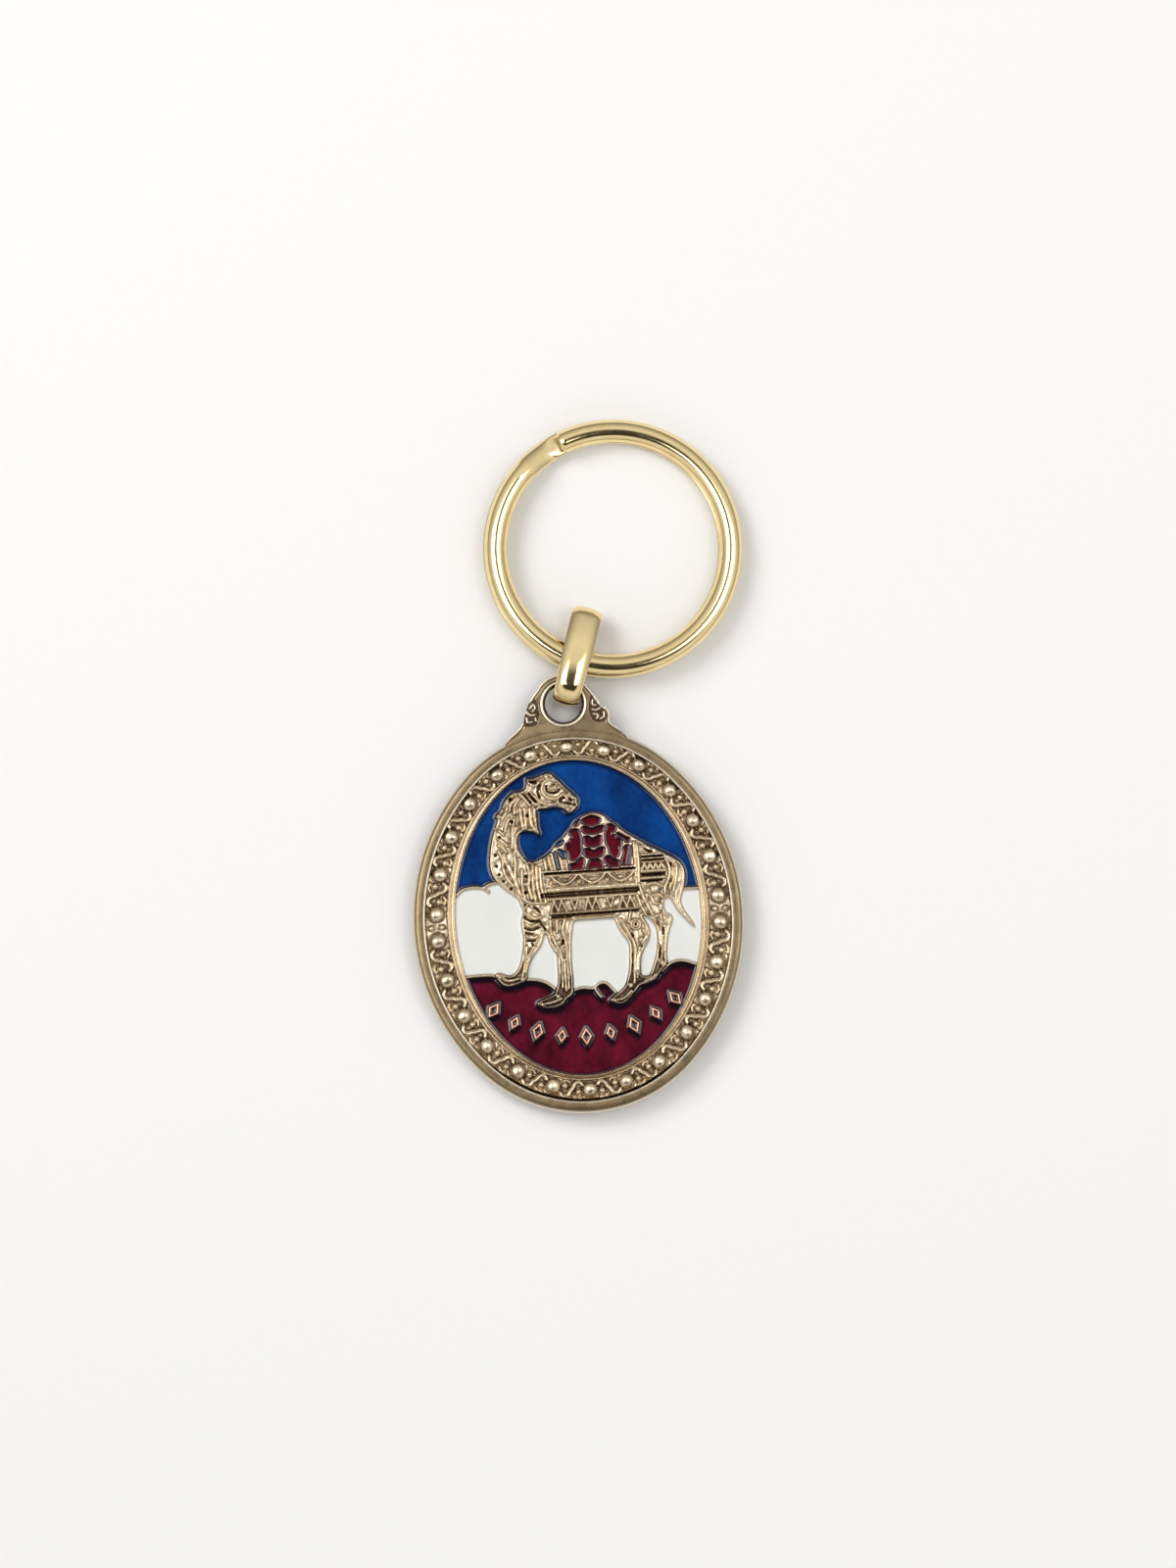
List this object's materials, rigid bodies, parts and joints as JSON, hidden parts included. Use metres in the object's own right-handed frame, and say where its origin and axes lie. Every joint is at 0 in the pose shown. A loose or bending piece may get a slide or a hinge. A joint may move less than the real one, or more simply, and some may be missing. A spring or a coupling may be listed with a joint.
{
  "type": "keychain",
  "caption": "Oval enamelled relief medal hung by a flat link on a split key ring; the link folds at the lug and the ring turns through the link.",
  "frame": {"origin": "centre of the medal's flat back face, halfway along the oval's width and height", "axes": "+Z out of the medal's decorated face, +Y from the medal's centre towards the lug and ring, +X to the right of the picture; the keychain lies flat on z = 0"},
  "size_m": [0.0412, 0.0801, 0.0055],
  "materials": {
    "cast_bronze_gilt": "antique gilt casting with dark patina in the recesses",
    "bright_gold_plate": "polished pale gold plate",
    "blue_enamel": "glossy translucent enamel",
    "white_enamel": "glossy opaque enamel",
    "red_enamel": "glossy translucent enamel"
  },
  "bodies": {
    "medal": {"medal_casting": "cast_bronze_gilt", "sky_enamel": "blue_enamel", "left_cloud_enamel": "white_enamel", "foreleg_cloud_enamel": "white_enamel", "belly_cloud_enamel": "white_enamel", "hind_leg_cloud_enamel": "white_enamel", "right_cloud_enamel": "white_enamel", "ground_enamel": "red_enamel", "saddle_crown_cell": "red_enamel", "saddle_upper_cell": "red_enamel", "saddle_middle_cell": "red_enamel", "saddle_lower_cell": "red_enamel", "saddle_base_cell": "red_enamel", "saddle_left_tip_cell": "red_enamel", "saddle_left_cell": "red_enamel", "saddle_left_base_cell": "red_enamel", "saddle_right_cell": "red_enamel", "saddle_right_tip_cell": "red_enamel", "saddle_right_edge_cell": "red_enamel", "saddle_right_base_cell": "red_enamel", "saddle_right_sliver_cell": "red_enamel", "blanket_upper_cell": "blue_enamel", "blanket_lower_cell": "blue_enamel", "blanket_sliver_cell": "blue_enamel"},
    "link": {"connecting_link": "bright_gold_plate"},
    "ring": {"split_ring": "bright_gold_plate"}
  },
  "joints": [
    {"name": "link_fold", "type": "hinge", "parent": "medal", "child": "link", "pos_m": [0.00096, 0.02759, 0.00275], "axis": [0.9516, -0.3074, 0], "range_deg": [-95, 120]},
    {"name": "ring_spin", "type": "hinge", "parent": "link", "child": "ring", "pos_m": [0.00705, 0.04275, 0.00193], "axis": [0.0163, 0.0389, 0.9991], "continuous": true}
  ]
}
